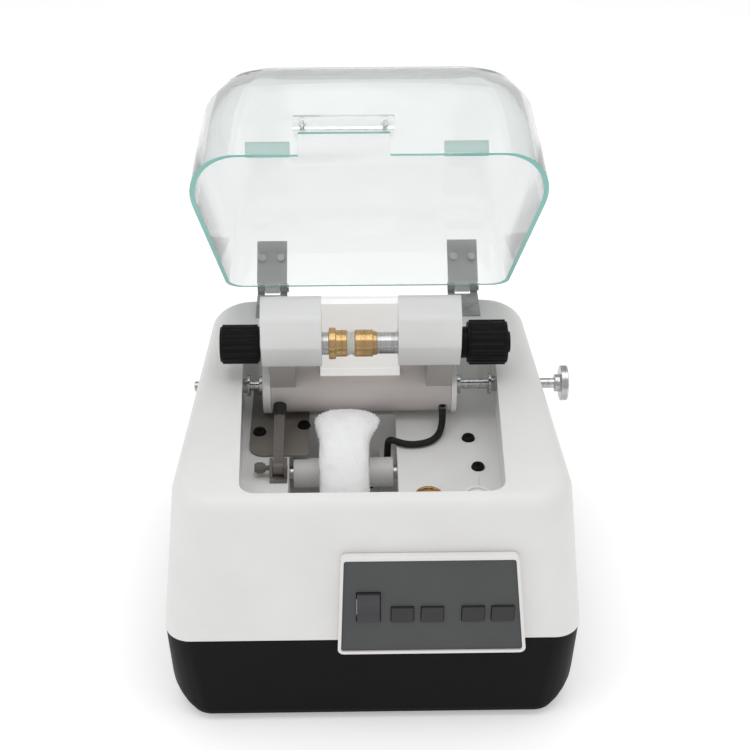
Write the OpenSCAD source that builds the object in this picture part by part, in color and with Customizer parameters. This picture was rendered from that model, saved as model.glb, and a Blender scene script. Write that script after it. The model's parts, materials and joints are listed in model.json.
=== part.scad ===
// Desktop edge polisher for lenses: base, shell, clear lid, swinging carriage with
// two lens cups, cotton wheel and belt drives. Millimetres, Z up, front at -Y.

/* [Body] */
// Width of the body at the seam, at the front
body_w = 308; // [300:1:314]
// Width of the body at the seam, at the rear
rear_w = 277; // [268:1:290]
// Depth of the body at the seam
body_d = 284; // [276:1:292]
// Width of the top, at the front
top_w = 283; // [276:1:292]
// Width of the top, at the rear
top_rear_w = 254; // [248:1:262]
// Height of the top above the table
top_z = 209; // [207:0.5:211]
// Height of the seam between base and shell
seam_z = 86; // [80:1:90]
// Wall thickness of base and shell
wall = 3; // [2.5:0.5:3.5]

/* [Chamber] */
// Width of the opening at its front edge
mouth_w = 188; // [180:1:192]
// Width of the opening at its rear edge
mouth_rear_w = 200; // [192:1:204]
// Front edge of the opening
mouth_y0 = -121; // [-123:1:-116]
// Rear edge of the opening
mouth_y1 = 76; // [72:1:78]
// Height of the chamber floor
floor_z = 160; // [158:0.5:161]
// Height of the ledges beside the wheel
ledge_z = 126; // [120:1:130]

/* [Wheel] */
// Radius of the cotton wheel
wheel_r = 49; // [46:0.5:49.5]
// Width of the wheel at its core
wheel_w = 38; // [34:1:40]
// Middle of the wheel, across the machine
wheel_x = -20; // [-22:0.5:-18]
// Front to back position of the wheel shaft
wheel_y = -21; // [-23:0.5:-20]
// Height of the wheel shaft
wheel_z = 146; // [144:0.5:148]

/* [Carriage] */
// Front to back position of the carriage pivot
pivot_y = 40; // [38:0.5:44]
// Height of the carriage pivot
pivot_z = 185.6; // [184:0.2:187]
// Forward lean of the carriage
lean = 20.5; // [18:0.5:23]
// Distance from the pivot to the lens axis
arm_len = 57.1; // [55:0.1:60]
// Radius of the rod the carriage turns on
rod_r = 4; // [3.5:0.1:4.5]
// Radius of the lower carriage housing
housing_r = 21; // [20:0.5:21.5]

/* [Lid] */
// Height of the lid hinge
hinge_z = 213; // [212:0.5:215]
// Front to back position of the lid hinge
hinge_y = 141; // [139:0.5:143]
// How far the lid stands open
lid_open = 52; // [40:1:60]
// Height of the lid above its rim
lid_h = 78; // [77:1:80]
// Half width of the lid at its widest
lid_hw = 128; // [127:1:130]
// Wall thickness of the lid
lid_wall = 3; // [2.5:0.5:3.5]

/* [Hidden] */
facets = 32;
$fn = 64;
gap = 0.3;
foot_h = 4;
half_d = body_d / 2;
lid_rim = 211;      // rim of the closed lid
tilt = 4;           // lean of the control panel
panel_y = -149.3;
panel_z = 78.5;
lens_x = -14.25;    // plane between the two pads
white = [0.90, 0.91, 0.90];
black = [0.07, 0.07, 0.08];
dark = [0.20, 0.18, 0.17];
steel = [0.72, 0.73, 0.74];
brass = [0.80, 0.62, 0.30];
clear = [0.80, 0.92, 0.88, 0.35];
grey = [0.55, 0.57, 0.60];
rubber = [0.10, 0.10, 0.10];

// Helpers

// Cylinder along X from x0 to x1
module rod_x(x0, x1, r) {
    translate([x0, 0, 0]) rotate([0, 90, 0]) cylinder(h = x1 - x0, r = r);
}

// Ring along X from x0 to x1
module ring_x(x0, x1, r, bore) {
    difference() {
        rod_x(x0, x1, r);
        rod_x(x0 - 1, x1 + 1, bore);
    }
}

// Places children at the carriage pivot, leaning with the carriage
module at_pivot() translate([0, pivot_y, pivot_z]) rotate([lean, 0, 0]) children();

// Places children at the lens axis, leaning with the carriage
module at_lens() at_pivot() translate([0, 0, arm_len]) children();

// Places children at the lift shaft that drives both spindles
lay_z = 11.6;
module at_lay() at_pivot() translate([0, 0, lay_z]) children();

module at_wheel() translate([0, wheel_y, wheel_z]) children();

// Places children on the control panel: x across, y into the machine, z up it
module at_panel() translate([0, panel_y, panel_z]) rotate([-tilt, 0, 0]) children();

// Places children on the lid: as built closed, then opened
module at_lid() translate([0, hinge_y, hinge_z]) rotate([-lid_open, 0, 0])
    translate([0, -hinge_y, -hinge_z]) children();

// Thin four-cornered slice: front and rear half widths, front and rear edges
module slice(wf, wr, y0, y1, r, z) {
    for (s = [-1, 1]) {
        translate([s * (wf - r), y0 + r, z]) cylinder(h = 0.01, r = r, $fn = 48);
        translate([s * (wr - r), y1 - r, z]) cylinder(h = 0.01, r = r, $fn = 48);
    }
}

// Shell form above the seam, moved in by t
module shell_form(t) {
    edge = 13 - t;
    z_edge = top_z - 13;
    k = (z_edge - seam_z) / (top_z - seam_z);
    wf = body_w / 2 - (body_w - top_w) / 2 * k - t;
    wr = rear_w / 2 - (rear_w - top_rear_w) / 2 * k - t;
    y0 = -half_d + 9 * k + t;
    y1 = half_d - 6 * k - t;
    hull() {
        slice(body_w / 2 - t, rear_w / 2 - t, -half_d + t, half_d - t, 20 - t, seam_z + gap);
        for (a = [0:15:90]) {
            d = edge * (1 - cos(a));
            slice(wf - d, wr - d, y0 + d, y1 - d, 33 - t - d, z_edge + edge * sin(a));
        }
    }
}

// Base form below the seam, moved in by t
module base_form(t) {
    edge = 28 - t;      // rounding of the long side edges underneath
    lip = 6 - t;        // rounding of the front and rear edges underneath
    z0 = foot_h + t;
    hull() {
        slice(body_w / 2 - t, rear_w / 2 - t, -half_d + t, half_d - t, 22 - t, seam_z);
        for (a = [0:15:90]) {
            d = edge * (1 - cos(a));
            h = edge * (1 - sin(a));
            e = h >= lip ? 0 : lip - sqrt(lip * lip - (lip - h) * (lip - h));
            slice(body_w / 2 - 0.5 - t - d, rear_w / 2 - 0.5 - t - d, -half_d + 1 + t + e,
                half_d - 1 - t - e, 30 - t - d, z0 + h);
        }
    }
}

// Outline of the chamber mouth, moved out by t
mouth_r = 12;
mouth_corners = [
    [-mouth_w / 2 + mouth_r, mouth_y0 + mouth_r, 180],
    [mouth_w / 2 - mouth_r, mouth_y0 + mouth_r, 270],
    [mouth_rear_w / 2 - mouth_r, mouth_y1 - mouth_r, 0],
    [-mouth_rear_w / 2 + mouth_r, mouth_y1 - mouth_r, 90]
];
module mouth(t) polygon([
    for (c = mouth_corners, a = [0:15:90])
        [c[0] + (mouth_r + t) * cos(c[2] + a), c[1] + (mouth_r + t) * sin(c[2] + a)]
]);

// Round-cornered plate on the table plane of its own frame
module rounded(w, d, h, r) {
    translate([-w / 2 + r, -d / 2, 0]) cube([w - 2 * r, d, h]);
    translate([-w / 2, -d / 2 + r, 0]) cube([w, d - 2 * r, h]);
    for (x = [-1, 1], y = [-1, 1])
        translate([x * (w / 2 - r), y * (d / 2 - r), 0]) cylinder(h = h, r = r);
}

// Base

screw_xy = [[-120, -112], [120, -112], [-108, 112], [108, 112]];

module base_tray() color(black) {
    difference() {
        union() {
            difference() {
                base_form(0);
                base_form(wall);
                translate([-200, -200, seam_z - 0.02]) cube([400, 400, 10]);
            }
            for (p = screw_xy) translate([p[0], p[1], foot_h + 2]) cylinder(h = 74, r = 6);
            for (p = [[-100, -10], [-36, -10], [-100, 70], [-36, 70]])
                translate([p[0], p[1], foot_h + 2]) cylinder(h = 9, r = 4);
        }
        for (p = screw_xy) {
            translate([p[0], p[1], foot_h - 1]) cylinder(h = 90, r = 2.2);
            translate([p[0], p[1], foot_h - 1]) cylinder(h = 7, r = 4.2);
        }
        translate([-84, half_d - 8, 38]) cube([28, 12, 21]);
        translate([-30, half_d + 2, 48]) rotate([90, 0, 0]) cylinder(h = 12, r = 6.2);
        for (i = [0:8]) translate([-64 + 16 * i, -60, foot_h - 1]) cube([5, 46, 5]);
    }
}

module feet() color(rubber)
    for (p = [[-88, -86], [88, -86], [-78, 86], [78, 86], [0, 0]]) translate([p[0], p[1], 0]) {
        cylinder(h = 2, r1 = 8, r2 = 9);
        translate([0, 0, 2]) cylinder(h = foot_h - 2, r = 9);
    }

module base_screws() color(steel)
    for (p = screw_xy) translate([p[0], p[1], foot_h + 2.5]) {
        difference() {
            cylinder(h = 3.5, r = 3.8);
            translate([-3, -0.5, -1]) cube([6, 1, 2]);
            translate([-0.5, -3, -1]) cube([1, 6, 2]);
        }
        translate([0, 0, 3.4]) cylinder(h = 86, r = 2);
    }

// Shell

module shell_post(p) translate([p[0], p[1], seam_z + gap]) {
    cylinder(h = 34, r = 5);
    s = p[0] > 0 ? 1 : -1;
    t = p[1] > 0 ? 1 : -1;
    translate([s > 0 ? 0 : -30, -1.5, 0]) cube([30, 3, 34]);
    translate([-1.5, t > 0 ? 0 : -30, 0]) cube([3, 30, 34]);
}

module upper_shell() color(white) difference() {
    union() {
        difference() {
            shell_form(0);
            shell_form(wall);
            translate([-200, -200, seam_z - 5]) cube([400, 400, 5 + gap]);
            translate([0, 0, top_z - 20]) linear_extrude(40) mouth(0);
            for (i = [0:7]) translate([-66 + 17 * i, half_d - 20, 118]) cube([6, 40, 34]);
        }
        intersection() {
            shell_form(1);
            for (p = screw_xy) shell_post(p);
        }
    }
    for (p = screw_xy) translate([p[0], p[1], seam_z - 1]) cylinder(h = 20, r = 2.05);
    translate([-170, pivot_y, pivot_z]) rotate([0, 90, 0]) cylinder(h = 340, r = rod_r + 1.5);
    translate([-20, -160, 94]) cube([118, 32, 68]);
    for (x = [-79.5, 79.5]) translate([x, 108, top_z - 10]) cylinder(h = 20, r = 2.1);
}

// Ring under the shell's mouth, and the wet chamber with its wheel well
module chamber_tub() color(white) difference() {
    union() {
        difference() {
            translate([0, 0, floor_z - 3]) linear_extrude(203.5 - floor_z + 3) mouth(4.5);
            translate([0, 0, floor_z]) linear_extrude(60) mouth(2);
        }
        translate([-65.1, -77, ledge_z - 2.5]) cube([88.2, 114, floor_z - ledge_z]);
        translate([-52.5, -77, 89.5]) cube([63, 114, 40]);
        for (x = [42, 78]) translate([x, -80, floor_z - 1]) cylinder(h = 7, r = 3.95);
    }
    translate([-62.6, -74.5, ledge_z]) cube([83.2, 109, 60]);
    translate([-50, -74.5, 92]) cube([58, 109, 60]);
    translate([0, wheel_y, wheel_z]) rod_x(-70, 30, 5.4);
    translate([0, pivot_y, pivot_z]) rod_x(-120, 120, 6);
    for (x = [11.6, 16]) translate([x, 10, 120]) cylinder(h = 8, r = 3.4);
    translate([11.6, 6.6, 120]) cube([4.4, 6.8, 8]);
    translate([0, 28, 88]) cylinder(h = 6, r = 4);
    for (p = [[77, 2], [82, -34], [-86.6, 10], [-55, 52]])
        translate([p[0], p[1], floor_z - 5]) cylinder(h = 10, r = 2.1);
    for (y = [-46, -38]) translate([-70, y, floor_z - 5]) cylinder(h = 10, r = 1.6);
}

// Round-headed screws through the chamber floor
module floor_screws() color(black) {
    for (p = [[77, 2, 0, 6], [82, -34, 0, 6], [-86.6, 10, 2, 6], [-55, 52, 2, 6], [-52, 18, 2, 3]])
        translate([p[0], p[1], floor_z + p[2]]) {
            difference() {
                cylinder(h = 2.4, r1 = 5.4, r2 = 4.4);
                translate([0, 0, 1.2]) cylinder(h = 2, r = 1.8, $fn = 6);
            }
            translate([0, 0, -p[3]]) cylinder(h = p[3] + 0.1, r = 2);
        }
}

module rod_bushes() color(steel) for (s = [-1, 1])
    translate([0, pivot_y, pivot_z]) difference() {
        union() {
            rod_x(s > 0 ? 96.3 : -108, s > 0 ? 108 : -96.3, 5.9);
            rod_x(s > 0 ? 94.3 : -96.6, s > 0 ? 96.6 : -94.3, 8.5);
        }
        rod_x(-120, 120, rod_r + 0.05);
    }

module spare_cup(bore) difference() {
    union() {
        cylinder(h = 7, r = 8);
        translate([0, 0, 7]) cylinder(h = 4.5, r = 10.5);
    }
    translate([0, 0, -1]) cylinder(h = 20, r = bore);
    translate([0, 0, 9]) cylinder(h = 5, r = 8.6);
}

module spare_cups() {
    color(brass) translate([42, -80, floor_z + 0.1]) spare_cup(4);
    color(white) translate([78, -80, floor_z + 0.1]) spare_cup(4);
}

// Controls

// Panel outline with rounded corners, widening downwards, moved in by t
panel_h = 88.4;
panel_corners = [[-26, 0, 180], [111.5, 0, 270], [103.5, panel_h, 0], [-23.2, panel_h, 90]];
module panel_outline(t) polygon([
    for (c = panel_corners, a = [0:15:90]) let (r = max(1, 4.5 - t), k = c[2] + 45) [
        c[0] - (t + r) * sign(cos(k)) + r * cos(c[2] + a),
        c[1] - (t + r) * sign(sin(k)) + r * sin(c[2] + a)]
]);

module upright(y0, y1) translate([0, y1, 0]) rotate([90, 0, 0])
    linear_extrude(y1 - y0) children();

module control_bezel() color(white) at_panel() difference() {
    upright(0, 6.6) panel_outline(0);
    upright(-1, 3.2) panel_outline(2.4);
    upright(-1, 10) panel_outline(5.5);
    translate([-60, 8.2, -20]) rotate([tilt, 0, 0]) cube([300, 20, 27]);
}

key_z = 30;
key_x = [21, 42.6, 72, 93.3];

module control_panel() color(grey) at_panel() difference() {
    upright(1.2, 3.1) panel_outline(2.6);
    for (x = key_x) translate([x - 8.3, 0, key_z - 0.2]) cube([16.6, 8, 13.9]);
    translate([-12.2, 0, key_z - 0.2]) cube([17.4, 8, 27.4]);
}

module key(x) color(grey) at_panel() translate([x, 0, key_z]) {
    translate([-8, -0.6, 0]) cube([16, 3.6, 13.5]);
    translate([-2, 2.9, 4.7]) cube([4, 5, 4]);
}

module key_speed() key(key_x[0]);
module key_left() key(key_x[1]);
module key_right() key(key_x[2]);
module key_start() key(key_x[3]);

// Rocker that turns about a pin across its middle
rocker_y = 7;
module power_rocker() color([0.48, 0.42, 0.60]) at_panel() translate([-3.5, 0, key_z + 13.5]) {
    difference() {
        intersection() {
            translate([-8.2, -1, -12.9]) cube([16.4, 12, 25.8]);
            translate([0, rocker_y, 0]) rod_x(-8.2, 8.2, 15);
        }
        translate([0, -36.3, 0]) rod_x(-20, 20, 36);
        translate([-20, 5, -20]) cube([40, 20, 14.5]);
        translate([-20, 5, 5.5]) cube([40, 20, 14.5]);
    }
}

module control_board() at_panel() {
    color([0.10, 0.35, 0.20]) difference() {
        translate([-17, 12.4, 20]) cube([112, 1.6, 60]);
        translate([-15.5, 12, 26]) cube([24, 3, 36]);
    }
    color(black) for (x = key_x)
        translate([x - 3.5, 9.2, key_z + 3.2]) cube([7, 3.2, 7]);
    color(black) translate([40, 14, 52]) cube([26, 4, 16]);
    color(steel) for (x = [-12, 90]) translate([x, 14, 74]) rotate([-90, 0, 0]) cylinder(h = 3, r = 3);
}

module rear_grille() color(black) {
    difference() {
        translate([-70, 131.2, 112]) cube([133, 2, 46]);
        for (i = [0:7]) translate([-64 + 17 * i, 130, 116]) cube([2, 5, 38]);
    }
    for (x = [-68, 61]) translate([x - 2, 133.1, 114]) cube([4, 2.2, 36]);
}

module power_inlet() color(black) {
    difference() {
        union() {
            translate([-83.6, 124, 38.4]) cube([27.2, 17, 20.2]);
            translate([-90, 142.2, 34]) cube([40, 2.4, 29]);
            translate([-82, 140, 40]) cube([24, 3, 17]);
        }
        translate([-81, 129, 41]) cube([22, 30, 15]);
    }
    for (x = [-77, -70, -63]) translate([x - 1, 126, 46]) cube([2, 13, 5]);
}

module fuse_holder() color(black) translate([-30, 0, 48]) rotate([-90, 0, 0]) {
    translate([0, 0, 142.2]) cylinder(h = 3, r = 8);
    translate([0, 0, 118]) cylinder(h = 25, r = 6);
    translate([0, 0, 145]) difference() {
        cylinder(h = 3, r = 5.5);
        translate([-4, -0.6, 1.5]) cube([8, 1.2, 2]);
    }
}

module power_supply() {
    color([0.10, 0.35, 0.20]) translate([-106, -16, 15.1]) cube([76, 92, 1.8]);
    color([0.75, 0.65, 0.20]) translate([-96, 20, 16.9]) cube([34, 30, 28]);
    color(grey) translate([-54, -6, 16.9]) cube([4, 70, 26]);
    color(black) for (y = [0, 58]) translate([-84, y, 16.9]) cylinder(h = 25, r = 9);
}

// Lid

// Slice of the lid, moved in by t, with long oval front corners
module lid_slice(t, w, yf, yr, z) for (s = [-1, 1]) {
    translate([s * (w - t - 36), yf + 76, z]) scale([1, (76 - t) / (36 - t * 0.2), 1])
        cylinder(h = 0.01, r = 36 - t * 0.2, $fn = 48);
    translate([s * (w - 11 - 14 - t), yr - 14 - t, z]) cylinder(h = 0.01, r = 14, $fn = 48);
}

module lid_form(t) hull() {
    front = -126;
    rear = 131;
    lid_slice(t, lid_hw, front, rear, t > 0 ? lid_rim - 1 : lid_rim);
    lid_slice(t, lid_hw - 4, front + 2, rear - 1, lid_rim + 32 - t * 0.2);
    lid_slice(t, lid_hw - 8, front + 5, rear - 16, lid_rim + 56 - t * 0.5);
    lid_slice(t, lid_hw - 15, front + 11, rear - 46, lid_rim + 68.5 - t * 0.8);
    lid_slice(t, lid_hw - 25, front + 20, rear - 66, lid_rim + 75.5 - t);
    lid_slice(t, lid_hw - 38, front + 32, rear - 80, lid_rim + lid_h - t);
}

notch_x = -17.5;
module lid_shell() color(clear) at_lid() difference() {
    lid_form(0);
    lid_form(lid_wall);
    translate([notch_x - 31, -140, lid_rim - 5]) cube([62, 20, 22]);
    for (x = [-28, 28]) translate([notch_x + x, -115, lid_rim + 21]) rotate([90, 0, 0])
        cylinder(h = 20, r = 1.6);
    for (x = [-87, -72, 72, 87]) translate([x, 120, lid_rim + 24]) rotate([-90, 0, 0])
        cylinder(h = 20, r = 1.6);
}

// Finger bar over the notch, with its screws
module lid_handle() at_lid() {
    color(clear) difference() {
        translate([notch_x - 34, -131.5, lid_rim + 17.4]) cube([68, 5, 9]);
        for (x = [-28, 28]) translate([notch_x + x, -120, lid_rim + 21])
            rotate([90, 0, 0]) cylinder(h = 20, r = 1.6);
    }
    color(black) for (x = [-28, 28]) translate([notch_x + x, -131.5, lid_rim + 21])
        rotate([90, 0, 0]) cylinder(h = 1.8, r = 3);
    color(black) for (x = [-28, 28]) translate([notch_x + x, -116, lid_rim + 21])
        rotate([90, 0, 0]) cylinder(h = 15.6, r = 1.5);
}

// Two clear pads inside the lid's front wall, either side of the notch
module lid_pads() color([0.70, 0.85, 0.78, 0.6]) at_lid() intersection() {
    lid_form(lid_wall + 0.02);
    for (x = [-84, 50]) translate([x, -130, lid_rim + 2]) cube([30, 13, 9]);
}

// Leaf of each hinge on the lid, with its middle knuckle
module lid_straps() color(steel) at_lid() for (x = [-79.5, 79.5]) {
    difference() {
        translate([x - 12.5, 131.1, lid_rim + 3]) cube([25, 2, 38]);
        for (i = [-7.5, 7.5]) translate([x + i, 128, lid_rim + 24]) rotate([-90, 0, 0])
            cylinder(h = 10, r = 1.6);
    }
    difference() {
        union() {
            translate([0, hinge_y, hinge_z]) rod_x(x - 6, x + 6, 4);
            translate([x - 6, 131.1, hinge_z + 1]) cube([12, 10, 2.8]);
        }
        translate([0, hinge_y, hinge_z]) rod_x(x - 20, x + 20, 2.05);
    }
    for (i = [-7.5, 7.5]) translate([x + i, 125, lid_rim + 24]) rotate([-90, 0, 0]) {
        cylinder(h = 1.9, r = 3);
        cylinder(h = 8, r = 1.5);
    }
}

module hinge_brackets() color(steel) for (x = [-79.5, 79.5]) {
    difference() {
        union() {
            translate([x - 12.5, 102, top_z + 0.03]) cube([25, 32, 2]);
            for (i = [-1, 1]) {
                translate([x + i * 9.4 - 2.9, 128, top_z + 0.03]) cube([5.8, 13, 2]);
                translate([0, hinge_y, hinge_z]) rod_x(x + i * 9.4 - 2.9, x + i * 9.4 + 2.9, 4);
            }
        }
        translate([0, hinge_y, hinge_z]) rod_x(x - 20, x + 20, 2);
        translate([x - 15, 120, lid_rim]) cube([30, 14.5, 10]);
        translate([x, 108, top_z - 5]) cylinder(h = 20, r = 2.1);
    }
    translate([x, 108, top_z - 5]) cylinder(h = 5.4, r = 2);
    translate([x, 108, top_z + 2]) cylinder(h = 0.1, r = 2.1);
}

module hinge_pins() color(steel) for (x = [-79.5, 79.5]) translate([0, hinge_y, hinge_z]) {
    rod_x(x - 12.6, x + 12.6, 2);
    rod_x(x + 12.5, x + 13.8, 3.2);
}

// Carriage rod

module pivot_rod() color(steel) translate([0, pivot_y, pivot_z]) rod_x(-138.4, 152, rod_r);

module rod_disc() color(steel) translate([0, pivot_y, pivot_z]) difference() {
    union() {
        rod_x(151.4, 157, 14);
        rod_x(147, 151.5, 7);
    }
    rod_x(140, 152, rod_r);
}

module rod_collars() color(steel) translate([0, pivot_y, pivot_z]) {
    difference() {
        rod_x(68.6, 72.6, 7.5);
        rod_x(60, 80, rod_r);
    }
    difference() {
        rod_x(-87.4, -84.2, 7.5);
        rod_x(-90, -80, rod_r);
    }
}

// Carriage

head_l = [-82.1, -36.4];
head_r = [21.6, 68.9];

// Rounded block round the lens axis, from x0 to x1, moved in by t
module head_form(x0, x1, t) at_lens() hull() {
    for (x = [x0 + t + 3, x1 - t - 3]) {
        for (p = [[-9, -8.6, 5], [18, -8.6, 5], [15, 27, 8], [2, 27, 7]])
            translate([x - 3, p[0], p[1]]) rotate([0, 90, 0])
                cylinder(h = 6, r = p[2] - t, $fn = facets);
        translate([x - 3, -8, 11]) rotate([0, 90, 0]) cylinder(h = 6, r = 6 - t, $fn = facets);
    }
}

// Guard behind the lens: part of a ring round the lens axis
module trough() at_lens() difference() {
    rod_x(head_l[1] - 2, head_r[0] + 2, 36);
    rod_x(head_l[1] - 3, head_r[0] + 3, 33.5);
    translate([-60, -80, -34]) cube([120, 80, 120]);
    translate([-60, -80, 30]) cube([120, 160, 60]);
    translate([-60, -60, -60]) cube([120, 54, 60]);
}

module carriage_body() color(white) difference() {
    union() {
        head_form(head_l[0], head_l[1], 0);
        head_form(head_r[0], head_r[1], 0);
        trough();
        difference() {
            for (x = [-77.1, 44.4]) at_pivot() translate([x, -13, 12]) cube([19.5, 26, 34]);
            at_pivot() rod_x(-100, 100, housing_r + 0.1);
        }
    }
    head_form(head_l[0], head_l[1], 2.6);
    head_form(head_r[0], head_r[1], 2.6);
    for (x = [-75, 47]) at_pivot() translate([x, -10.6, 10]) cube([14, 21.2, 40]);
    at_lens() rod_x(-90, -75, 5.4);
    at_lens() rod_x(-45, -30, 9.2);
    at_lens() rod_x(10, 30, 10.9);
    at_lens() rod_x(60, 75, 4.6);
}

module carriage_housing() color([0.90, 0.85, 0.84]) at_pivot() difference() {
    rod_x(-77.1, 63.9, housing_r);
    rod_x(-80, 70, housing_r - 2.4);
    for (x = [-75, 47]) translate([x, -9, 8]) cube([14, 18, 20]);
    rotate([-lean, 0, 0]) translate([57.5, -17, -12.5]) rotate([40, 0, 0])
        cylinder(h = 16, r = 3.6, center = true);
}

module end_plate(x0, x1) at_pivot() {
    difference() {
        union() {
            rod_x(x0, x1, housing_r + 1);
            rod_x(x0 < 0 ? x1 - 0.1 : x0 - 3, x0 < 0 ? x1 + 3 : x0 + 0.1, housing_r - 2.5);
        }
        rod_x(x0 - 10, x1 + 10, rod_r + 0.05);
        translate([0, 0, lay_z]) rod_x(x0 - 10, x1 + 10, 2.05);
    }
}

module left_end_plate() color(white) end_plate(-83.7, -77.3);
module right_end_plate() color(white) end_plate(64.1, 68.1);

module lens_gearmotor() color(steel) at_lay() {
    ring_x(-34, 2, 6, 2.05);
    ring_x(2, 14, 6.6, 2.05);
    translate([-30, 5.2, -3]) cube([26, 5, 6]);
}

lay_r = 5;
spin_r = 9.4;

module layshaft() color(steel) at_lay() {
    rod_x(-82, 67.5, 2);
    for (x = [-72.5, 49]) {
        rod_x(x, x + 8, lay_r - 0.05);
        rod_x(x - 0.5, x + 0.6, 6);
        rod_x(x + 7.4, x + 8.5, 6);
    }
}

// Flat belt round two pulleys in the plane across X
module belt_x(x0, x1, z0, r0, z1, r1, t) translate([x0, 0, 0]) difference() {
    hull() {
        translate([0, 0, z0]) rotate([0, 90, 0]) cylinder(h = x1 - x0, r = r0 + t, $fn = 48);
        translate([0, 0, z1]) rotate([0, 90, 0]) cylinder(h = x1 - x0, r = r1 + t, $fn = 48);
    }
    translate([-1, 0, 0]) hull() {
        translate([0, 0, z0]) rotate([0, 90, 0]) cylinder(h = x1 - x0 + 2, r = r0 + 0.02, $fn = 48);
        translate([0, 0, z1]) rotate([0, 90, 0]) cylinder(h = x1 - x0 + 2, r = r1 + 0.02, $fn = 48);
    }
}

module left_belt() color(rubber) at_pivot() belt_x(-71.4, -65.6, lay_z, lay_r, arm_len, spin_r, 1);
module right_belt() color(rubber) at_pivot() belt_x(50.1, 55.9, lay_z, lay_r, arm_len, spin_r, 1);

module spindle_bearings() color(steel) at_lens() {
    ring_x(-79.3, -75, 9, 5.05);
    ring_x(-44, -39.2, 10.6, 5.05);
    ring_x(24.4, 29, 10.9, 9.45);
    ring_x(58, 62, 9.5, 7.05);
}

module left_spindle() color(steel) at_lens() {
    rod_x(-92, -36.9, 5);
    rod_x(-72.5, -64.5, spin_r - 0.05);
    rod_x(-73.4, -72, spin_r + 1.4);
    rod_x(-65, -63.6, spin_r + 1.4);
    rod_x(-37, -31, 8.7);
}

// Fluted hand knob along X, with a domed outer end
module knob_x(x0, x1, r, flutes) difference() {
    union() {
        rod_x(x0 + 1.5, x1 - 1.5, r);
        rod_x(x0, x1, r - 1.5);
    }
    for (i = [0:flutes - 1]) rotate([i * 360 / flutes, 0, 0]) translate([0, 0, r + 1.2])
        rod_x(x0 - 1, x1 + 1, 2.2, $fn = 16);
}

module left_knob() color(black) at_lens() difference() {
    knob_x(-113.4, -83.6, 15, 18);
    rod_x(-92, -80, 5);
}

module left_cup() color(brass) at_lens() {
    rod_x(-31, -25.7, 12.2);
    rod_x(-25.8, -17.3, 10.3);
}

module left_pad() color(rubber) at_lens() {
    rod_x(-17.3, -15.8, 9.6);
    rod_x(-15.9, lens_x - 0.05, 8.6);
}

module right_sleeve() color(steel) at_lens() difference() {
    union() {
        rod_x(22.6, 46, 9.4);
        rod_x(46, 58, 9.35);
        rod_x(48.2, 49.6, spin_r + 1.4);
        rod_x(56.4, 57.8, spin_r + 1.4);
        rod_x(57.9, 64, 7);
    }
    rod_x(20, 44, 8.46);
    rod_x(40, 70, 4.04);
}

module clamp_shaft() color(steel) at_lens() {
    rod_x(5.6, 34, 8.4);
    rod_x(33.9, 84, 4);
}

module right_cup() color(brass) at_lens() {
    rod_x(-11.2, 2.5, 10.4);
    rod_x(2.4, 5.6, 9.2);
}

module right_pad() color(rubber) at_lens() {
    rod_x(-12.8, -11.2, 9.6);
    rod_x(lens_x + 0.05, -12.7, 8.6);
}

module clamp_knob() color(black) at_lens() difference() {
    union() {
        knob_x(74.4, 104.6, 17.3, 20);
        rod_x(104.5, 107, 8);
        rod_x(69.6, 74.5, 12);
    }
    rod_x(60, 84, 4);
}

// Wheel drive

module polishing_wheel() color([0.93, 0.93, 0.92]) at_wheel() translate([wheel_x, 0, 0])
    rotate([0, 90, 0]) rotate_extrude() polygon([
        [8, -wheel_w / 2], [wheel_r - 9, -wheel_w / 2], [wheel_r - 5.5, 1 - wheel_w / 2],
        [wheel_r - 2, 5 - wheel_w / 2], [wheel_r, -7], [wheel_r + 0.4, 0], [wheel_r, 7],
        [wheel_r - 2, wheel_w / 2 - 5], [wheel_r - 5.5, wheel_w / 2 - 1],
        [wheel_r - 9, wheel_w / 2], [8, wheel_w / 2]
    ]);

module wheel_hubs() color(steel) at_wheel() {
    for (s = [-1, 1]) difference() {
        rod_x(s > 0 ? wheel_x + 19.1 : -59.5, s > 0 ? 17.5 : wheel_x - 19.1, 11.5);
        rod_x(-80, 80, 5);
    }
    ring_x(wheel_x - 19, wheel_x + 19, 7.9, 5);
}

module wheel_shaft() color(steel) at_wheel() rod_x(-73, 58, 5);

module shaft_bearings() color(steel) at_wheel() for (x = [-72.6, 23.2]) {
    ring_x(x, x + 7.4, 10.4, 5.05);
}

pulley_x = 40;
big_r = 8.5;
module wheel_pulley() color(steel) at_wheel() difference() {
    union() {
        rod_x(pulley_x, pulley_x + 12, big_r - 0.05);
        rod_x(pulley_x - 1, pulley_x + 0.8, 9.9);
        rod_x(pulley_x + 11.2, pulley_x + 13, 9.9);
    }
    rod_x(pulley_x - 5, pulley_x + 20, 5);
}

motor_y = 40;
motor_z = 60;
motor_r = 33;
small_r = 12;
module at_motor() translate([0, motor_y, motor_z]) children();

module drive_belt() color(rubber) translate([pulley_x + 1.2, 0, 0]) difference() {
    hull() {
        at_wheel() rod_x(0, 9.6, big_r + 1.2, $fn = 48);
        at_motor() rod_x(0, 9.6, small_r + 1.2, $fn = 48);
    }
    hull() {
        at_wheel() rod_x(-1, 10.6, big_r + 0.02, $fn = 48);
        at_motor() rod_x(-1, 10.6, small_r + 0.02, $fn = 48);
    }
}

module motor_pulley() color(steel) at_motor() {
    difference() {
        union() {
            rod_x(pulley_x, pulley_x + 12, small_r - 0.05);
            rod_x(pulley_x - 1, pulley_x + 0.8, 13.6);
            rod_x(pulley_x + 11.2, pulley_x + 13, 13.6);
        }
    }
    rod_x(pulley_x + 12.9, 76, 4);
}

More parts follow.
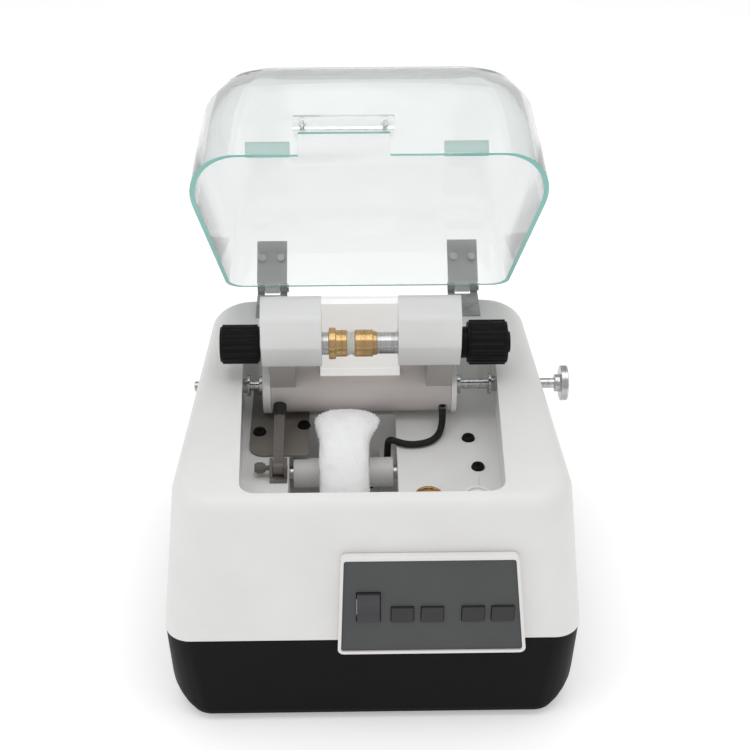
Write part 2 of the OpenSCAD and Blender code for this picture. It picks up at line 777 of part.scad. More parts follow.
module main_motor() color(dark) at_motor() difference() {
    union() {
        rod_x(60, 122, motor_r);
        rod_x(56.4, 60.1, 12);
        for (i = [0:11]) rotate([i * 30, 0, 0]) translate([66, -1, motor_r - 1]) cube([48, 2, 3]);
    }
    rod_x(50, 78, 4.05);
    for (a = [45, 135, 225, 315]) rotate([a, 0, 0]) translate([0, 0, 26]) rod_x(55, 68, 2);
}

module motor_bracket() color(steel) {
    difference() {
        translate([56.8, motor_y - 38, foot_h + wall + 0.1]) cube([3, 76, 82]);
        at_motor() rod_x(50, 66, 12.3);
        at_motor() for (a = [45, 135, 225, 315]) rotate([a, 0, 0]) translate([0, 0, 26])
            rod_x(50, 66, 2.1);
    }
    translate([59.7, motor_y - 38, foot_h + wall + 0.1]) cube([40, 76, 3]);
    at_motor() for (a = [45, 135, 225, 315]) rotate([a, 0, 0]) translate([0, 0, 26]) {
        rod_x(54, 56.8, 3.6);
        rod_x(56.7, 66, 1.95);
    }
}

// Carriage rest

module lift_plate() color(dark) difference() {
    union() {
        translate([-94, -7, floor_z]) cube([46, 77, 2]);
        translate([-82, -19, floor_z]) cube([34, 20, 2]);
        translate([-82, -7, floor_z]) cylinder(h = 2, r = 12);
    }
    for (p = [[-86.6, 10], [-55, 52], [-52, 18]])
        translate([p[0], p[1], floor_z - 1]) cylinder(h = 10, r = 2.1);
}

rest_x = -70;
rest_y = -42;
rest_z = 168;
module at_rest() translate([0, rest_y, rest_z]) children();

// Forked stand of the rest arm, with its cross screw
module arm_bracket() {
    color(dark) difference() {
        union() {
            translate([rest_x - 6.6, rest_y - 9, floor_z]) cube([13.2, 18, 2.4]);
            for (x = [rest_x - 6.6, rest_x + 4.4])
                translate([x, rest_y - 6, floor_z]) cube([2.2, 12, rest_z - floor_z + 5]);
        }
        at_rest() rod_x(-100, -40, 1.95);
    }
    color(steel) at_rest() {
        rod_x(-80, -63.2, 1.95);
        knob_x(-88, -79.9, 5, 14);
    }
    color(steel) for (y = [-46, -38]) translate([rest_x, y, floor_z - 5])
        cylinder(h = 5.2, r = 1.5);
}

// Arm that the carriage housing rests against, with a soft cap
module lift_arm() {
    color(dark) at_rest() difference() {
        union() {
            rod_x(rest_x - 4.2, rest_x + 4.2, 5.3);
            rotate([18, 0, 0]) translate([rest_x - 4, 0, -3]) cube([8, 50, 7]);
        }
        rod_x(-100, -40, 2);
    }
    color(rubber) at_rest() rotate([18, 0, 0]) translate([rest_x, 46, 0.5]) rotate([-90, 0, 0])
        difference() {
            cylinder(h = 11.5, r = 5.2);
            translate([-4, -3.5, -1]) cube([8, 7, 5]);
        }
}

// Cable

cable_r = 2.8;
cable_path = [
    [57.5, 23.4, 172.8], [57.5, 17, 167.5], [56, 7, 164], [51, -2, 163.2],
    [44, -7, 163.2], [36, -9, 163.2], [28, -9, 163.3], [21.5, -6, 163.3],
    [17.5, -1, 162], [15.2, 4, 157], [14, 8.5, 146], [13.8, 10, 134], [13.8, 10, 127]
];

module carriage_cable() color(rubber)
    for (i = [0:len(cable_path) - 2]) hull() {
        translate(cable_path[i]) sphere(r = cable_r, $fn = 16);
        translate(cable_path[i + 1]) sphere(r = cable_r, $fn = 16);
    }

// Output

base_tray();
feet();
base_screws();
upper_shell();
chamber_tub();
floor_screws();
control_bezel();
control_panel();
power_rocker();
key_speed();
key_left();
key_right();
key_start();
control_board();
rear_grille();
power_inlet();
fuse_holder();
power_supply();
lid_shell();
lid_handle();
lid_pads();
lid_straps();
hinge_brackets();
hinge_pins();
pivot_rod();
rod_disc();
rod_collars();
rod_bushes();
carriage_body();
carriage_housing();
left_end_plate();
right_end_plate();
lens_gearmotor();
layshaft();
left_belt();
right_belt();
spindle_bearings();
left_spindle();
left_knob();
left_cup();
left_pad();
right_sleeve();
clamp_shaft();
right_cup();
right_pad();
clamp_knob();
polishing_wheel();
wheel_hubs();
wheel_shaft();
shaft_bearings();
wheel_pulley();
drive_belt();
main_motor();
motor_pulley();
motor_bracket();
lift_plate();
arm_bracket();
lift_arm();
carriage_cable();
spare_cups();
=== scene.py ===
import bpy, bmesh, json, math, random
from mathutils import Matrix, Vector, noise


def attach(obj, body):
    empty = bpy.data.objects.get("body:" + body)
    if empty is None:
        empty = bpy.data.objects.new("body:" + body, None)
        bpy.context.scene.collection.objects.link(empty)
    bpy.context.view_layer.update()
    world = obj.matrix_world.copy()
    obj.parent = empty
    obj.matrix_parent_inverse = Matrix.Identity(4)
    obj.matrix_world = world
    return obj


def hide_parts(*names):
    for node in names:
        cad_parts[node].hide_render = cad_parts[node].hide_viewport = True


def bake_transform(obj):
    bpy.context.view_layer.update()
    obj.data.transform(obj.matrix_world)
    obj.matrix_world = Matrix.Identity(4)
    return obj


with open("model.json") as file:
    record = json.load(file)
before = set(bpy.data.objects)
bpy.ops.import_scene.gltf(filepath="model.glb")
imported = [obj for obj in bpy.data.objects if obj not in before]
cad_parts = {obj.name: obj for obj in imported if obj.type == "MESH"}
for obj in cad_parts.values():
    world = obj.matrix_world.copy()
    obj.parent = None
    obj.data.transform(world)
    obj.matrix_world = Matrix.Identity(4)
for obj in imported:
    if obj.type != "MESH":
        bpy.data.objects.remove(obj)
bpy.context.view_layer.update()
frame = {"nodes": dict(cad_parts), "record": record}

mm = 0.001
nodes = frame["nodes"]
bodyOf = {n: b for b, ns in frame["record"]["behaviour"]["bodies"].items() for n in ns}
print("frame loaded", len(nodes), "nodes")


# shader groups
def newGroup(name, inputs, outputs):
    g = bpy.data.node_groups.new(name, "ShaderNodeTree")
    for label, kind, value in inputs:
        s = g.interface.new_socket(name=label, in_out="INPUT", socket_type=kind)
        s.default_value = value
    for label, kind in outputs:
        g.interface.new_socket(name=label, in_out="OUTPUT", socket_type=kind)
    return g, g.nodes.new("NodeGroupInput"), g.nodes.new("NodeGroupOutput")


def addNode(tree, kind, **settings):
    n = tree.nodes.new(kind)
    for key, value in settings.items():
        if hasattr(n, key):
            setattr(n, key, value)
        else:
            n.inputs[key.replace("_", " ")].default_value = value
    return n


def makeGrainGroup():  # fine moulded texture plus a slow cloud of colour
    g, gin, gout = newGroup("mouldedGrain",
        [("Scale", "NodeSocketFloat", 1500.0), ("Cloud Scale", "NodeSocketFloat", 18.0)],
        [("Height", "NodeSocketFloat"), ("Cloud", "NodeSocketFloat")])
    coord = addNode(g, "ShaderNodeTexCoord")
    fine = addNode(g, "ShaderNodeTexNoise", Detail=3.0, Roughness=0.6)
    cloud = addNode(g, "ShaderNodeTexNoise", Detail=4.0, Roughness=0.55)
    for tex, label in ((fine, "Scale"), (cloud, "Cloud Scale")):
        g.links.new(coord.outputs["Object"], tex.inputs["Vector"])
        g.links.new(gin.outputs[label], tex.inputs["Scale"])
    g.links.new(fine.outputs["Fac"], gout.inputs["Height"])
    g.links.new(cloud.outputs["Fac"], gout.inputs["Cloud"])
    return g


def makeWearGroup():  # worn convex edges broken up by noise
    g, gin, gout = newGroup("edgeWear",
        [("Start", "NodeSocketFloat", 0.53), ("Scale", "NodeSocketFloat", 260.0)],
        [("Mask", "NodeSocketFloat")])
    geo = addNode(g, "ShaderNodeNewGeometry")
    coord = addNode(g, "ShaderNodeTexCoord")
    tex = addNode(g, "ShaderNodeTexNoise", Detail=5.0)
    span = addNode(g, "ShaderNodeMapRange")
    span.inputs["From Max"].default_value = 0.72
    mul = addNode(g, "ShaderNodeMath", operation="MULTIPLY")
    g.links.new(geo.outputs["Pointiness"], span.inputs["Value"])
    g.links.new(gin.outputs["Start"], span.inputs["From Min"])
    g.links.new(coord.outputs["Object"], tex.inputs["Vector"])
    g.links.new(gin.outputs["Scale"], tex.inputs["Scale"])
    g.links.new(span.outputs["Result"], mul.inputs[0])
    g.links.new(tex.outputs["Fac"], mul.inputs[1])
    g.links.new(mul.outputs["Value"], gout.inputs["Mask"])
    return g


def makeLatheGroup():  # turning marks: bands across the machine's X axis
    g, gin, gout = newGroup("latheMarks",
        [("Bands", "NodeSocketFloat", 2600.0), ("Around", "NodeSocketFloat", 30.0)],
        [("Height", "NodeSocketFloat"), ("Streak", "NodeSocketFloat")])
    coord = addNode(g, "ShaderNodeTexCoord")
    split = addNode(g, "ShaderNodeSeparateXYZ")
    g.links.new(coord.outputs["Object"], split.inputs[0])
    joined = addNode(g, "ShaderNodeCombineXYZ")
    for axis, label in (("X", "Bands"), ("Y", "Around"), ("Z", "Around")):
        mul = addNode(g, "ShaderNodeMath", operation="MULTIPLY")
        g.links.new(split.outputs[axis], mul.inputs[0])
        g.links.new(gin.outputs[label], mul.inputs[1])
        g.links.new(mul.outputs["Value"], joined.inputs[axis])
    tex = addNode(g, "ShaderNodeTexNoise", Scale=1.0, Detail=2.0)
    slow = addNode(g, "ShaderNodeTexNoise", Scale=0.12, Detail=2.0)
    for t, out in ((tex, "Height"), (slow, "Streak")):
        g.links.new(joined.outputs[0], t.inputs["Vector"])
        g.links.new(t.outputs["Fac"], gout.inputs[out])
    return g


grainGroup, wearGroup, latheGroup = makeGrainGroup(), makeWearGroup(), makeLatheGroup()


def blankMaterial(name):
    m = bpy.data.materials.new(name)
    m.use_nodes = True
    return m, m.node_tree, m.node_tree.nodes["Principled BSDF"]


def placeGroup(tree, group, **values):
    n = tree.nodes.new("ShaderNodeGroup")
    n.node_tree = group
    for key, value in values.items():
        n.inputs[key.replace("_", " ")].default_value = value
    return n


def ramp(tree, source, low, high, a=0.3, b=0.7):
    r = tree.nodes.new("ShaderNodeValToRGB")
    r.color_ramp.elements[0].position, r.color_ramp.elements[1].position = a, b
    r.color_ramp.elements[0].color, r.color_ramp.elements[1].color = (*low, 1), (*high, 1)
    tree.links.new(source, r.inputs["Fac"])
    return r.outputs["Color"]


def span(tree, source, low, high, a=0.3, b=0.7):
    n = tree.nodes.new("ShaderNodeMapRange")
    for key, value in (("From Min", a), ("From Max", b), ("To Min", low), ("To Max", high)):
        n.inputs[key].default_value = value
    tree.links.new(source, n.inputs["Value"])
    return n.outputs["Result"]


def bump(tree, bsdf, height, distance, strength=1.0):
    n = addNode(tree, "ShaderNodeBump")
    n.inputs["Distance"].default_value, n.inputs["Strength"].default_value = distance, strength
    tree.links.new(height, n.inputs["Height"])
    tree.links.new(n.outputs["Normal"], bsdf.inputs["Normal"])


def mixColour(tree, mask, a, b):
    n = tree.nodes.new("ShaderNodeMix")
    n.data_type = "RGBA"
    tree.links.new(mask, n.inputs["Factor"])
    for value, socket in ((a, n.inputs[6]), (b, n.inputs[7])):
        if isinstance(value, tuple):
            socket.default_value = (*value, 1)
        else:
            tree.links.new(value, socket)
    return n.outputs[2]


def mouldedPlastic(name, low, high, rough, grain, height, worn=None, coat=0.0, shine=0.5, glow=0.0):
    m, tree, bsdf = blankMaterial(name)
    g = placeGroup(tree, grainGroup, Scale=grain)
    colour = ramp(tree, g.outputs["Cloud"], low, high)
    if worn:
        w = placeGroup(tree, wearGroup)
        colour = mixColour(tree, w.outputs["Mask"], colour, worn)
    tree.links.new(colour, bsdf.inputs["Base Color"])
    tree.links.new(span(tree, g.outputs["Cloud"], rough - 0.04, rough + 0.05), bsdf.inputs["Roughness"])
    bsdf.inputs["Coat Weight"].default_value = coat
    bsdf.inputs["Specular IOR Level"].default_value = shine
    # glow makes the colour shine by itself: painted light
    if glow:
        tree.links.new(colour, bsdf.inputs["Emission Color"])
        bsdf.inputs["Emission Strength"].default_value = glow
    bump(tree, bsdf, g.outputs["Height"], height)
    return m


def turnedMetal(name, low, high, rough, bands=2600.0, height=0.00002):
    m, tree, bsdf = blankMaterial(name)
    g = placeGroup(tree, latheGroup, Bands=bands)
    bsdf.inputs["Metallic"].default_value = 1.0
    tree.links.new(ramp(tree, g.outputs["Streak"], low, high), bsdf.inputs["Base Color"])
    tree.links.new(span(tree, g.outputs["Height"], rough - 0.06, rough + 0.1), bsdf.inputs["Roughness"])
    bump(tree, bsdf, g.outputs["Height"], height)
    return m


def clearPlastic(name, tint, rough, through=1.0, grain=700.0):
    m, tree, bsdf = blankMaterial(name)
    g = placeGroup(tree, grainGroup, Scale=grain, Cloud_Scale=9.0)
    high = tuple(min(1.0, c * 1.03) for c in tint)
    tree.links.new(ramp(tree, g.outputs["Cloud"], tint, high), bsdf.inputs["Base Color"])
    tree.links.new(span(tree, g.outputs["Cloud"], rough, rough + 0.03), bsdf.inputs["Roughness"])
    bsdf.inputs["Transmission Weight"].default_value = through
    bsdf.inputs["IOR"].default_value = 1.45
    bump(tree, bsdf, g.outputs["Cloud"], 0.00006, 0.5)
    return m


finishes = {
    "shellWhite": mouldedPlastic("shellWhite",
        (0.79, 0.785, 0.77), (0.83, 0.825, 0.81), 0.42, 2200, 0.000012, shine=0.35),
    "tubWhite": mouldedPlastic("tubWhite",
        (0.77, 0.765, 0.75), (0.82, 0.815, 0.80), 0.46, 1800, 0.00002, shine=0.3),
    "carriageWhite": mouldedPlastic("carriageWhite",
        (0.83, 0.83, 0.825), (0.87, 0.87, 0.865), 0.34, 2400, 0.00001, coat=0.1, shine=0.4),
    # painted light: the guard's trough faces glow so the trough looks evenly lit instead of shaded inside
    "guardPaintedGlow": mouldedPlastic("guardPaintedGlow",
        (0.86, 0.86, 0.855), (0.90, 0.90, 0.895), 0.40, 2400, 0.00001, glow=0.34),
    # painted shade: mid grey on the white carriage arms stands in for the shadow in the gap under the heads
    "armPaintedShade": mouldedPlastic("armPaintedShade", (0.42, 0.40, 0.39), (0.48, 0.46, 0.45), 0.50, 1600, 0.000012),
    "hubGrey": mouldedPlastic("hubGrey", (0.56, 0.55, 0.54), (0.64, 0.63, 0.62), 0.40, 1600, 0.000012),
    "housingGrey": mouldedPlastic("housingGrey",
        (0.55, 0.51, 0.49), (0.61, 0.57, 0.55), 0.30, 1600, 0.000012, coat=0.2),
    "baseBlack": mouldedPlastic("baseBlack",
        (0.0045, 0.0045, 0.005), (0.007, 0.007, 0.0075), 0.48, 1500, 0.00004, (0.02, 0.02, 0.02), shine=0.06),
    "knobBlack": mouldedPlastic("knobBlack",
        (0.005, 0.005, 0.005), (0.009, 0.008, 0.008), 0.42, 1900, 0.00002, (0.03, 0.03, 0.03), shine=0.12),
    "panelFilm": mouldedPlastic("panelFilm",
        (0.070, 0.072, 0.073), (0.082, 0.084, 0.086), 0.50, 2600, 0.000008, shine=0.25),
    "keyFilm": mouldedPlastic("keyFilm",
        (0.034, 0.034, 0.036), (0.042, 0.042, 0.044), 0.46, 2600, 0.000008, shine=0.25),
    "rockerFilm": mouldedPlastic("rockerFilm",
        (0.046, 0.044, 0.052), (0.054, 0.052, 0.060), 0.42, 2600, 0.000008, shine=0.3),
    "softRubber": mouldedPlastic("softRubber",
        (0.010, 0.010, 0.010), (0.018, 0.018, 0.018), 0.62, 1200, 0.00004, shine=0.25),
    "siliconePad": mouldedPlastic("siliconePad",
        (0.62, 0.63, 0.56), (0.72, 0.72, 0.66), 0.50, 900, 0.00003),
    "boardGreen": mouldedPlastic("boardGreen", (0.01, 0.10, 0.04), (0.02, 0.15, 0.06), 0.35, 500, 0.00002),
    "darkIron": mouldedPlastic("darkIron",
        (0.085, 0.075, 0.065), (0.13, 0.117, 0.105), 0.42, 900, 0.00003, (0.35, 0.33, 0.30)),
    "plateGrey": mouldedPlastic("plateGrey",
        (0.18, 0.160, 0.145), (0.23, 0.21, 0.19), 0.48, 700, 0.00002, shine=0.35),
    "strapGrey": mouldedPlastic("strapGrey",
        (0.26, 0.26, 0.27), (0.34, 0.34, 0.35), 0.38, 900, 0.00001, (0.6, 0.6, 0.6)),
    "strapPale": mouldedPlastic("strapPale", (0.60, 0.60, 0.60), (0.68, 0.68, 0.68), 0.34, 900, 0.00001),
    "turnedSteel": turnedMetal("turnedSteel", (0.42, 0.41, 0.42), (0.58, 0.57, 0.58), 0.24),
    "turnedBrass": turnedMetal("turnedBrass", (0.46, 0.29, 0.13), (0.60, 0.41, 0.20), 0.24),
    "clearLid": clearPlastic("clearLid", (0.93, 0.95, 0.948), 0.02, 0.88),
    "rimTint": clearPlastic("rimTint", (0.30, 0.72, 0.65), 0.20, 0.30),
    "padTint": clearPlastic("padTint", (0.50, 0.80, 0.74), 0.15, 0.55),
}
print("materials made", len(finishes))


# finished copies of the CAD parts
nodeFinish = {  # finish, edge rounding in mm, smoothing angle
    "base_tray": ("baseBlack", 0.0, 40), "feet": ("softRubber", 0.5, 30),
    "base_screws": ("turnedSteel", 0.2, 30), "upper_shell": ("shellWhite", 0.0, 40),
    "chamber_tub": ("tubWhite", 0.0, 30), "floor_screws": ("knobBlack", 0.25, 30),
    "control_bezel": ("shellWhite", 0.9, 30), "control_panel": ("panelFilm", 0.3, 30),
    "power_rocker": ("rockerFilm", 0.5, 30), "key_speed": ("keyFilm", 0.4, 30),
    "key_left": ("keyFilm", 0.4, 30), "key_right": ("keyFilm", 0.4, 30),
    "key_start": ("keyFilm", 0.4, 30), "control_board": ("boardGreen", 0.2, 30),
    "rear_grille": ("knobBlack", 0.3, 30), "power_inlet": ("knobBlack", 0.4, 30),
    "fuse_holder": ("knobBlack", 0.4, 30), "power_supply": ("boardGreen", 0.3, 30),
    "lid_handle": ("clearLid", 0.6, 30), "lid_pads": ("padTint", 0.6, 30),
    "lid_straps": ("strapPale", 0.3, 30), "hinge_brackets": ("strapGrey", 0.3, 30),
    "hinge_pins": ("turnedSteel", 0.3, 30), "pivot_rod": ("turnedSteel", 0.5, 30),
    "rod_disc": ("turnedSteel", 0.6, 30), "rod_collars": ("turnedSteel", 0.5, 30),
    "rod_bushes": ("turnedSteel", 0.4, 30), "carriage_body": ("carriageWhite", 0.9, 32),
    "carriage_housing": ("housingGrey", 0.4, 30), "left_end_plate": ("carriageWhite", 0.8, 30),
    "right_end_plate": ("carriageWhite", 0.8, 30), "lens_gearmotor": ("turnedSteel", 0.3, 30),
    "layshaft": ("turnedSteel", 0.2, 30), "left_belt": ("softRubber", 0.2, 40),
    "right_belt": ("softRubber", 0.2, 40), "spindle_bearings": ("turnedSteel", 0.2, 30),
    "left_spindle": ("turnedSteel", 0.3, 30), "left_knob": ("knobBlack", 0.5, 30),
    "left_cup": ("turnedBrass", 0.4, 30), "left_pad": ("siliconePad", 0.4, 30),
    "right_sleeve": ("turnedSteel", 0.3, 30), "clamp_shaft": ("turnedSteel", 0.3, 30),
    "right_cup": ("turnedBrass", 0.4, 30), "right_pad": ("siliconePad", 0.4, 30),
    "clamp_knob": ("knobBlack", 0.5, 30), "wheel_hubs": ("hubGrey", 0.6, 30),
    "wheel_shaft": ("turnedSteel", 0.4, 30), "shaft_bearings": ("turnedSteel", 0.3, 30),
    "wheel_pulley": ("turnedSteel", 0.3, 30), "drive_belt": ("softRubber", 0.3, 40),
    "main_motor": ("darkIron", 0.6, 30), "motor_pulley": ("turnedSteel", 0.3, 30),
    "motor_bracket": ("turnedSteel", 0.4, 30), "lift_plate": ("plateGrey", 0.4, 30),
    "arm_bracket": ("darkIron", 0.3, 30), "lift_arm": ("darkIron", 0.5, 30),
    "spare_cups": ("turnedBrass", 0.4, 30),
}


def mergedCopy(name):
    bm = bmesh.new()
    bm.from_mesh(nodes[name].data)
    bmesh.ops.remove_doubles(bm, verts=bm.verts, dist=0.002 * mm)
    bmesh.ops.dissolve_degenerate(bm, dist=0.002 * mm, edges=bm.edges)
    bmesh.ops.dissolve_limit(bm, angle_limit=math.radians(0.4), verts=bm.verts, edges=bm.edges)
    return bm


def objectFrom(bm, name, finish, body=None):
    me = bpy.data.meshes.new(name)
    bm.to_mesh(me)
    bm.free()
    o = bpy.data.objects.new(name, me)
    bpy.context.scene.collection.objects.link(o)
    for f in (finish if isinstance(finish, (list, tuple)) else [finish]):
        me.materials.append(finishes[f])
    if body:
        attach(o, body)
    return o


def smoothBy(o, degrees):
    o.data.shade_smooth()
    o.data.set_sharp_from_angle(angle=math.radians(degrees))


def roundEdges(o, width, degrees=30, segments=2):
    b = o.modifiers.new("rounded", "BEVEL")
    b.width, b.segments, b.limit_method = width * mm, segments, "ANGLE"
    b.angle_limit = math.radians(degrees)
    b.harden_normals = True
    b.use_clamp_overlap = True


def finishNode(name, finish, width, angle):
    o = objectFrom(mergedCopy(name), "made_" + name, finish, bodyOf[name])
    if width:
        roundEdges(o, width, angle)
    smoothBy(o, angle)
    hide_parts(name)
    return o


made = {name: finishNode(name, *how) for name, how in nodeFinish.items()}
print("CAD parts finished", len(made))


def paintFaces(o, finish, test):  # gives some faces a second finish
    o.data.materials.append(finishes[finish])
    index = len(o.data.materials) - 1
    for p in o.data.polygons:
        if test(p.center, p.normal):
            p.material_index = index


carriageSettings = {"pivotY": 40.0, "pivotZ": 185.6, "lean": 20.5, "armLen": 57.1,
    "armHeights": (11, 43), "armDepth": 13.2, "armSides": (-57, 44),
    "guardRadii": (32.5, 37), "guardSides": (-36, 21.4)}
secondFinish = {"whiteCupFrom": 60 * mm, "softCapFrom": 2 * mm}


def onCarriage(p):  # millimetres from the pivot, upright
    turn = Matrix.Rotation(math.radians(-carriageSettings["lean"]), 3, "X")
    return turn @ (p / mm - Vector((0, carriageSettings["pivotY"], carriageSettings["pivotZ"])))


def onArm(c, n):
    s, q = carriageSettings, onCarriage(c)
    low, high = s["armHeights"]
    left, right = s["armSides"]
    return low < q.z < high and abs(q.y) < s["armDepth"] and (q.x < left or q.x > right)


def onGuard(c, n):
    s, q = carriageSettings, onCarriage(c)
    inner, outer = s["guardRadii"]
    left, right = s["guardSides"]
    return inner < math.hypot(q.y, q.z - s["armLen"]) < outer and left < q.x < right


# the arm faces under the heads get the mid grey painted shade
paintFaces(made["carriage_body"], "armPaintedShade", onArm)
# the trough faces get the glowing white: painted light in place of the shade inside the trough
paintFaces(made["carriage_body"], "guardPaintedGlow", onGuard)
paintFaces(made["spare_cups"], "carriageWhite", lambda c, n: c.x > secondFinish["whiteCupFrom"])
paintFaces(made["lift_arm"], "softRubber", lambda c, n: c.y > secondFinish["softCapFrom"])


# lid
lidSettings = {"hingeY": 141 * mm, "hingeZ": 213 * mm, "open": 52.0, "rimZ": 211 * mm,
    "notchBack": -115 * mm, "notchTop": 229 * mm, "notchLeft": -50 * mm, "notchRight": 15 * mm}


def toClosed(p):
    turn = Matrix.Rotation(math.radians(lidSettings["open"]), 3, "X")
    h = Vector((0, lidSettings["hingeY"], lidSettings["hingeZ"]))
    return turn @ (p - h) + h


def makeLid():
    o = objectFrom(mergedCopy("lid_shell"), "made_lid_shell", ["clearLid", "rimTint"], "lid")
    s = lidSettings
    for p in o.data.polygons:
        c = toClosed(p.center)
        n = toClosed(p.center + p.normal) - c
        onRim = abs(c.z - s["rimZ"]) < 0.6 * mm and n.z < -0.7
        onNotch = (c.y < s["notchBack"] and c.z < s["notchTop"] and abs(n.y) < 0.4
            and s["notchLeft"] < c.x < s["notchRight"])
        if onRim or onNotch:
            p.material_index = 1
    smoothBy(o, 35)
    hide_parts("lid_shell")
    return o


makeLid()
print("lid made")


# cotton wheel
wheelSettings = {"x": -20.0, "y": -21.0, "z": 146.0, "core": 18.5,
    "crown": ((8.2, 1.0), (24, 1.0), (35, 1.0), (39, 0.98), (42, 0.93),  # radius, share of width
        (44.5, 0.83), (46.6, 0.66), (48, 0.44), (48.6, 0.18)),
    "flareAt": 60.0, "flareWide": 44.0, "flareRight": 9.5, "flareLeft": 4.5,
    "steps": 96, "tufts": 9000, "seed": 11}


def flareOf(y, z, side):  # how far loose fibres stand out sideways, in mm
    s = wheelSettings
    away = abs(math.degrees(math.atan2(z, y)) - s["flareAt"])
    reach = s["flareRight"] if side > 0 else s["flareLeft"]
    rim = min(1, max(0, (math.hypot(y, z) - 30) / 10))
    return reach * rim * max(0, 1 - (away / s["flareWide"]) ** 2)


def makeWheel():
    s = wheelSettings
    rng = random.Random(s["seed"])
    half = [(r, x * s["core"]) for r, x in s["crown"]]
    profile = [(r, -x) for r, x in half] + [(r, x) for r, x in reversed(half)]
    bm = bmesh.new()
    ring = [bm.verts.new((x * mm, 0, r * mm)) for r, x in profile]
    edges = [bm.edges.new((ring[i], ring[(i + 1) % len(ring)])) for i in range(len(ring))]
    bmesh.ops.spin(bm, geom=ring + edges, cent=(0, 0, 0), axis=(1, 0, 0), angle=math.tau,
        steps=s["steps"], use_merge=True)
    bmesh.ops.remove_doubles(bm, verts=bm.verts, dist=0.01 * mm)
    bmesh.ops.recalc_face_normals(bm, faces=bm.faces)
    bmesh.ops.subdivide_edges(bm, edges=bm.edges, cuts=1, use_grid_fill=True)
    bm.normal_update()
    for v in bm.verts:  # matted lumps, drawn out sideways near the top
        x, y, z = v.co / mm
        if math.hypot(y, z) < 12:
            continue
        lump = noise.noise(v.co * 90) * 1.2 + noise.noise(v.co * 260) * 0.7
        v.co += v.normal * lump * mm * (0.5 + 0.5 * min(1, math.hypot(y, z) / 44))
        v.co.x += x / s["core"] * flareOf(y, z, x) * (0.85 + 0.3 * noise.noise(v.co * 150)) * mm
    place = Vector((s["x"], s["y"], s["z"])) * mm
    bmesh.ops.translate(bm, verts=bm.verts, vec=place)
    return objectFrom(bm, "cotton_wheel", "cottonWool", "wheel"), rng, place


def makeTufts(rng, place):  # short curved fibres over the crown and the sides
    s = wheelSettings
    bm = bmesh.new()
    for _ in range(s["tufts"]):
        a = rng.uniform(0, math.tau)
        k = rng.uniform(2, len(s["crown"]) - 1.001)
        low, high = s["crown"][int(k)], s["crown"][int(k) + 1]
        r = low[0] + (high[0] - low[0]) * (k - int(k))
        sx = rng.choice((-1, 1))
        part = low[1] + (high[1] - low[1]) * (k - int(k))
        if k > 7.5:
            part *= rng.random()
        y, z = r * math.cos(a), r * math.sin(a)
        x = sx * part * (s["core"] + flareOf(y, z, sx)) - sx * 0.4
        root = Vector((x, y * 0.99, z * 0.99))
        lean = part ** 2
        out = Vector((sx * lean * 1.3, math.cos(a) * (1.1 - lean * 0.5), math.sin(a) * (1.1 - lean * 0.5)))
        swirl = Vector((rng.uniform(-0.3, 0.3), -math.sin(a), math.cos(a))) * rng.uniform(-0.9, 0.9)
        length = rng.uniform(1.0, 3.0)
        mid = root + (out.normalized() * 0.6 + swirl * 0.3) * length * 0.6
        tip = root + (out.normalized() * 0.75 + swirl * 0.9) * length
        wide = swirl.cross(out).normalized() * rng.uniform(0.09, 0.16)
        vs = [bm.verts.new((p * mm) + place) for p in
            (root - wide, root + wide, mid + wide * 0.7, mid - wide * 0.7, tip)]
        bm.faces.new(vs[:4])
        bm.faces.new((vs[3], vs[2], vs[4]))
    return objectFrom(bm, "cotton_fibres", "cottonWool", "wheel")


def cottonMaterial():
    m, tree, bsdf = blankMaterial("cottonWool")
    coord = addNode(tree, "ShaderNodeTexCoord")
    place = addNode(tree, "ShaderNodeMapping")
    place.inputs["Scale"].default_value = (1.0, 0.35, 0.35)
    tree.links.new(coord.outputs["Object"], place.inputs["Vector"])
    clump = addNode(tree, "ShaderNodeTexNoise", Scale=170.0, Detail=6.0, Roughness=0.65)
    fibre = addNode(tree, "ShaderNodeTexWave", Scale=260.0, Distortion=9.0, Detail=4.0, Detail_Scale=2.5)
    for t in (clump, fibre):
        tree.links.new(place.outputs["Vector"], t.inputs["Vector"])
    colour = ramp(tree, clump.outputs["Fac"], (0.90, 0.905, 0.915), (0.97, 0.97, 0.975))
    tree.links.new(colour, bsdf.inputs["Base Color"])
    tree.links.new(span(tree, fibre.outputs["Fac"], 0.85, 1.0), bsdf.inputs["Roughness"])
    bsdf.inputs["Sheen Weight"].default_value = 0.6
    # faint white emission: a painted glow that makes the cotton look more brightly lit
    bsdf.inputs["Emission Color"].default_value = (1, 1, 1, 1)
    bsdf.inputs["Emission Strength"].default_value = 0.07
    bsdf.inputs["Sheen Roughness"].default_value = 0.5
    bump(tree, bsdf, fibre.outputs["Fac"], 0.0004, 0.5)
    return m


finishes["cottonWool"] = cottonMaterial()
wheel, rng, wheelPlace = makeWheel()
smoothBy(wheel, 80)
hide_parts("polishing_wheel")
makeTufts(rng, wheelPlace)
print("cotton wheel made")


# cable
cableSettings = {"radius": 2.7, "points": [(57.5, 23.4, 172.8), (57.5, 17, 167.5), (56, 7, 164),
    (51, -2, 163.2), (44, -7, 163.2), (36, -9, 163.2), (28, -9, 163.3), (20.5, -5.5, 163.5),
    (16.2, -1, 162), (14.2, 4, 157), (13.8, 8.5, 146), (13.8, 10, 134), (13.8, 10, 127)]}


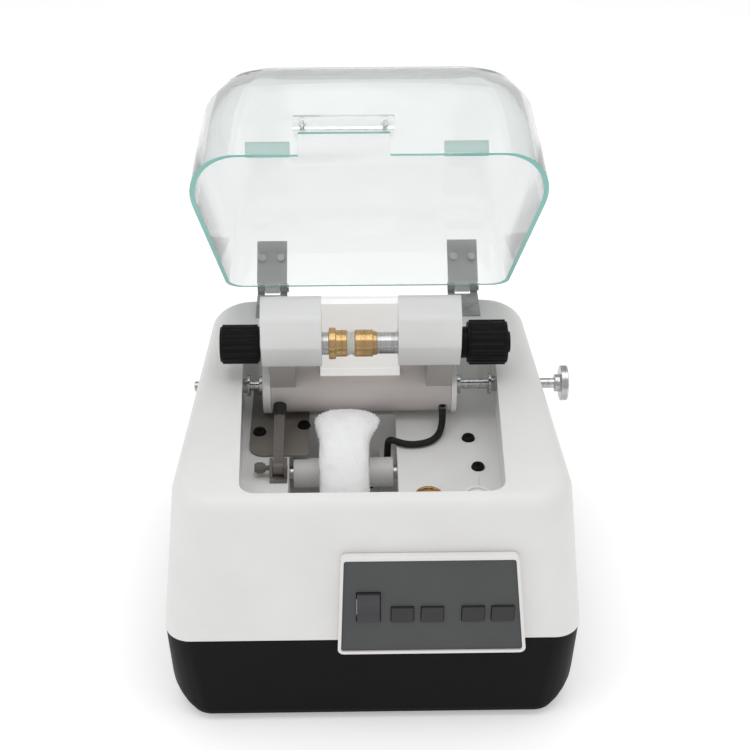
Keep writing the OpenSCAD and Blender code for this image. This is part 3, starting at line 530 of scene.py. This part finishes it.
def makeCable():
    c = bpy.data.curves.new("carriage_lead_curve", "CURVE")
    c.dimensions, c.bevel_depth, c.bevel_resolution = "3D", cableSettings["radius"] * mm, 6
    c.use_fill_caps, c.resolution_u = True, 8
    sp = c.splines.new("NURBS")
    pts = cableSettings["points"]
    sp.points.add(len(pts) - 1)
    for p, q in zip(sp.points, pts):
        p.co = (q[0] * mm, q[1] * mm, q[2] * mm, 1)
    sp.order_u, sp.use_endpoint_u = 4, True
    tmp = bpy.data.objects.new("carriage_lead_tmp", c)
    bpy.context.scene.collection.objects.link(tmp)
    deps = bpy.context.evaluated_depsgraph_get()
    me = bpy.data.meshes.new_from_object(tmp.evaluated_get(deps))
    bpy.data.objects.remove(tmp)
    bm = bmesh.new()
    bm.from_mesh(me)
    bmesh.ops.remove_doubles(bm, verts=bm.verts, dist=0.01 * mm)
    bmesh.ops.recalc_face_normals(bm, faces=bm.faces)
    o = objectFrom(bm, "carriage_lead", "softRubber")
    smoothBy(o, 50)
    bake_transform(o)
    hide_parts("carriage_cable")


makeCable()
print("cable made")


# floor, lights and camera
stageSettings = {"floor": 6.0, "tone": 0.93, "sky": 0.56, "glow": 0.30}


def makeStage():
    bm = bmesh.new()
    bmesh.ops.create_grid(bm, x_segments=2, y_segments=2, size=stageSettings["floor"] / 2)
    m, tree, bsdf = blankMaterial("paleFloor")
    g = placeGroup(tree, grainGroup, Scale=60.0, Cloud_Scale=2.0)
    t = stageSettings["tone"]
    colour = ramp(tree, g.outputs["Cloud"], (t, t, t), (t + 0.01, t + 0.01, t + 0.01))
    tree.links.new(colour, bsdf.inputs["Base Color"])
    bsdf.inputs["Roughness"].default_value = 0.9
    bsdf.inputs["Emission Color"].default_value = (1, 1, 1, 1)
    bsdf.inputs["Emission Strength"].default_value = stageSettings["glow"]
    finishes["paleFloor"] = m
    objectFrom(bm, "pale_floor", "paleFloor")


lightSettings = [  # name, place, size, power
    ("overhead", (0.0, -0.1, 2.1), 1.8, 15.0),
    ("leftSoft", (-1.7, -0.9, 1.3), 1.3, 4.5),
    ("rightSoft", (1.8, -0.7, 1.2), 1.3, 2.5),
    ("frontSoft", (0.1, -2.2, 1.5), 1.4, 0.5),
]


def makeLights():
    for name, place, size, power in lightSettings:
        l = bpy.data.lights.new(name, "AREA")
        l.shape, l.size, l.energy = "DISK", size, power
        o = bpy.data.objects.new(name, l)
        o.location = place
        o.rotation_euler = (Vector((0, 0, 0.15)) - Vector(place)).to_track_quat("-Z", "Y").to_euler()
        bpy.context.scene.collection.objects.link(o)
    w = bpy.data.worlds.new("studio")
    bpy.context.scene.world = w
    w.use_nodes = True
    w.node_tree.nodes["Background"].inputs[0].default_value = (1, 1, 1, 1)
    w.node_tree.nodes["Background"].inputs[1].default_value = stageSettings["sky"]
    bpy.context.scene.view_settings.view_transform = "Standard"


cameraSettings = {"place": (-0.0133, -0.9276, 0.8817), "down": 35.2, "turn": -0.97,
    "lens": 72.0, "shift": (0.0024, -0.0056)}


def makeCamera():
    s = cameraSettings
    c = bpy.data.cameras.new("camera")
    c.lens, c.sensor_width = s["lens"], 36.0
    c.shift_x, c.shift_y = s["shift"]
    c.clip_start, c.clip_end = 0.05, 30
    o = bpy.data.objects.new("camera", c)
    o.location = s["place"]
    o.rotation_euler = (math.radians(90 - s["down"]), 0, math.radians(s["turn"]))
    bpy.context.scene.collection.objects.link(o)
    bpy.context.scene.camera = o


makeStage()
makeLights()
makeCamera()
print("stage ready")
